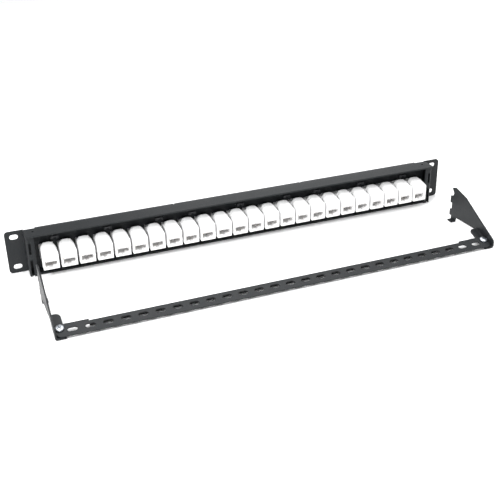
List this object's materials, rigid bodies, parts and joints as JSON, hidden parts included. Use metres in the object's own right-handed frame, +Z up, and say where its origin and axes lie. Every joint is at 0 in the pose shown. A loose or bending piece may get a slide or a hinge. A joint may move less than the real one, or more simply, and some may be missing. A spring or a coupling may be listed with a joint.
{
  "type": "patch panel",
  "caption": "Black steel rack panel with a row of white modular feed-through sockets and a perforated lacing bar that hooks on behind to carry the cables.",
  "frame": {"origin": "middle of the base, under the centre of the whole object with the rear bar pulled off and standing behind", "axes": "+X to the right seen from the front, +Y from the front to the rear, +Z up"},
  "size_m": [0.4826, 0.144, 0.0442],
  "materials": {
    "black_powder_coat": "fine-textured satin powder coat",
    "white_plastic": "moulded satin",
    "contact_carrier": "moulded, with gold contacts",
    "black_plastic": "moulded satin",
    "label_card": "matt card",
    "zinc_plated_steel": "bright zinc plate"
  },
  "bodies": {
    "panel": {"panel_shell": "black_powder_coat", "jack_housing_01": "white_plastic", "jack_housing_02": "white_plastic", "jack_housing_03": "white_plastic", "jack_housing_04": "white_plastic", "jack_housing_05": "white_plastic", "jack_housing_06": "white_plastic", "jack_housing_07": "white_plastic", "jack_housing_08": "white_plastic", "jack_housing_09": "white_plastic", "jack_housing_10": "white_plastic", "jack_housing_11": "white_plastic", "jack_housing_12": "white_plastic", "jack_housing_13": "white_plastic", "jack_housing_14": "white_plastic", "jack_housing_15": "white_plastic", "jack_housing_16": "white_plastic", "jack_housing_17": "white_plastic", "jack_housing_18": "white_plastic", "jack_housing_19": "white_plastic", "jack_housing_20": "white_plastic", "jack_housing_21": "white_plastic", "jack_housing_22": "white_plastic", "jack_housing_23": "white_plastic", "jack_housing_24": "white_plastic", "contact_insert_01": "contact_carrier", "contact_insert_02": "contact_carrier", "contact_insert_03": "contact_carrier", "contact_insert_04": "contact_carrier", "contact_insert_05": "contact_carrier", "contact_insert_06": "contact_carrier", "contact_insert_07": "contact_carrier", "contact_insert_08": "contact_carrier", "contact_insert_09": "contact_carrier", "contact_insert_10": "contact_carrier", "contact_insert_11": "contact_carrier", "contact_insert_12": "contact_carrier", "contact_insert_13": "contact_carrier", "contact_insert_14": "contact_carrier", "contact_insert_15": "contact_carrier", "contact_insert_16": "contact_carrier", "contact_insert_17": "contact_carrier", "contact_insert_18": "contact_carrier", "contact_insert_19": "contact_carrier", "contact_insert_20": "contact_carrier", "contact_insert_21": "contact_carrier", "contact_insert_22": "contact_carrier", "contact_insert_23": "contact_carrier", "contact_insert_24": "contact_carrier", "label_holder_1": "black_plastic", "label_holder_2": "black_plastic", "label_holder_3": "black_plastic", "label_insert_1": "label_card", "label_insert_2": "label_card", "label_insert_3": "label_card"},
    "rear_bar": {"lacing_strip": "black_powder_coat", "bracket_left": "black_powder_coat", "bracket_right": "black_powder_coat", "bar_screw_left": "zinc_plated_steel", "bar_screw_right": "zinc_plated_steel"}
  },
  "joints": [
    {"name": "bar_slide", "type": "slide", "parent": "panel", "child": "rear_bar", "axis": [0, 0.9949, -0.1008], "range_m": [-0.0472, 0]}
  ]
}
